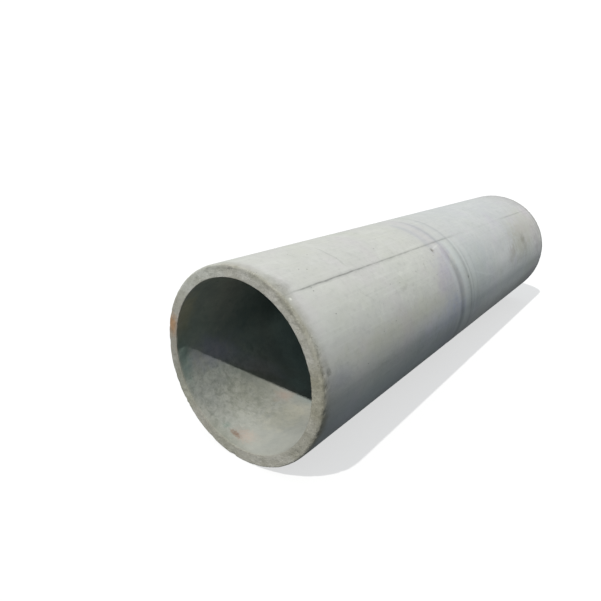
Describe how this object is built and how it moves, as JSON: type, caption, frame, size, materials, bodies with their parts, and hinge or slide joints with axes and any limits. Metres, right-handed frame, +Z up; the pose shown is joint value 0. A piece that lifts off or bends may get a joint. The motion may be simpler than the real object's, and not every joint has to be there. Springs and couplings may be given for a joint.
{
  "type": "concrete sewer pipe",
  "caption": "Plain-ended round spun concrete sewer pipe with a smooth straight bore, lying on its side.",
  "frame": {"origin": "on the ground, under the middle of the pipe", "axes": "+X along the pipe, away from the end that the picture shows open; +Z up; +Y across the pipe"},
  "size_m": [2.5, 0.6898, 0.6898],
  "materials": {
    "concrete": "bare grey cast concrete, matt, weathered, with rough broken end faces"
  },
  "bodies": {
    "root": {"pipe": "concrete"}
  },
  "joints": []
}
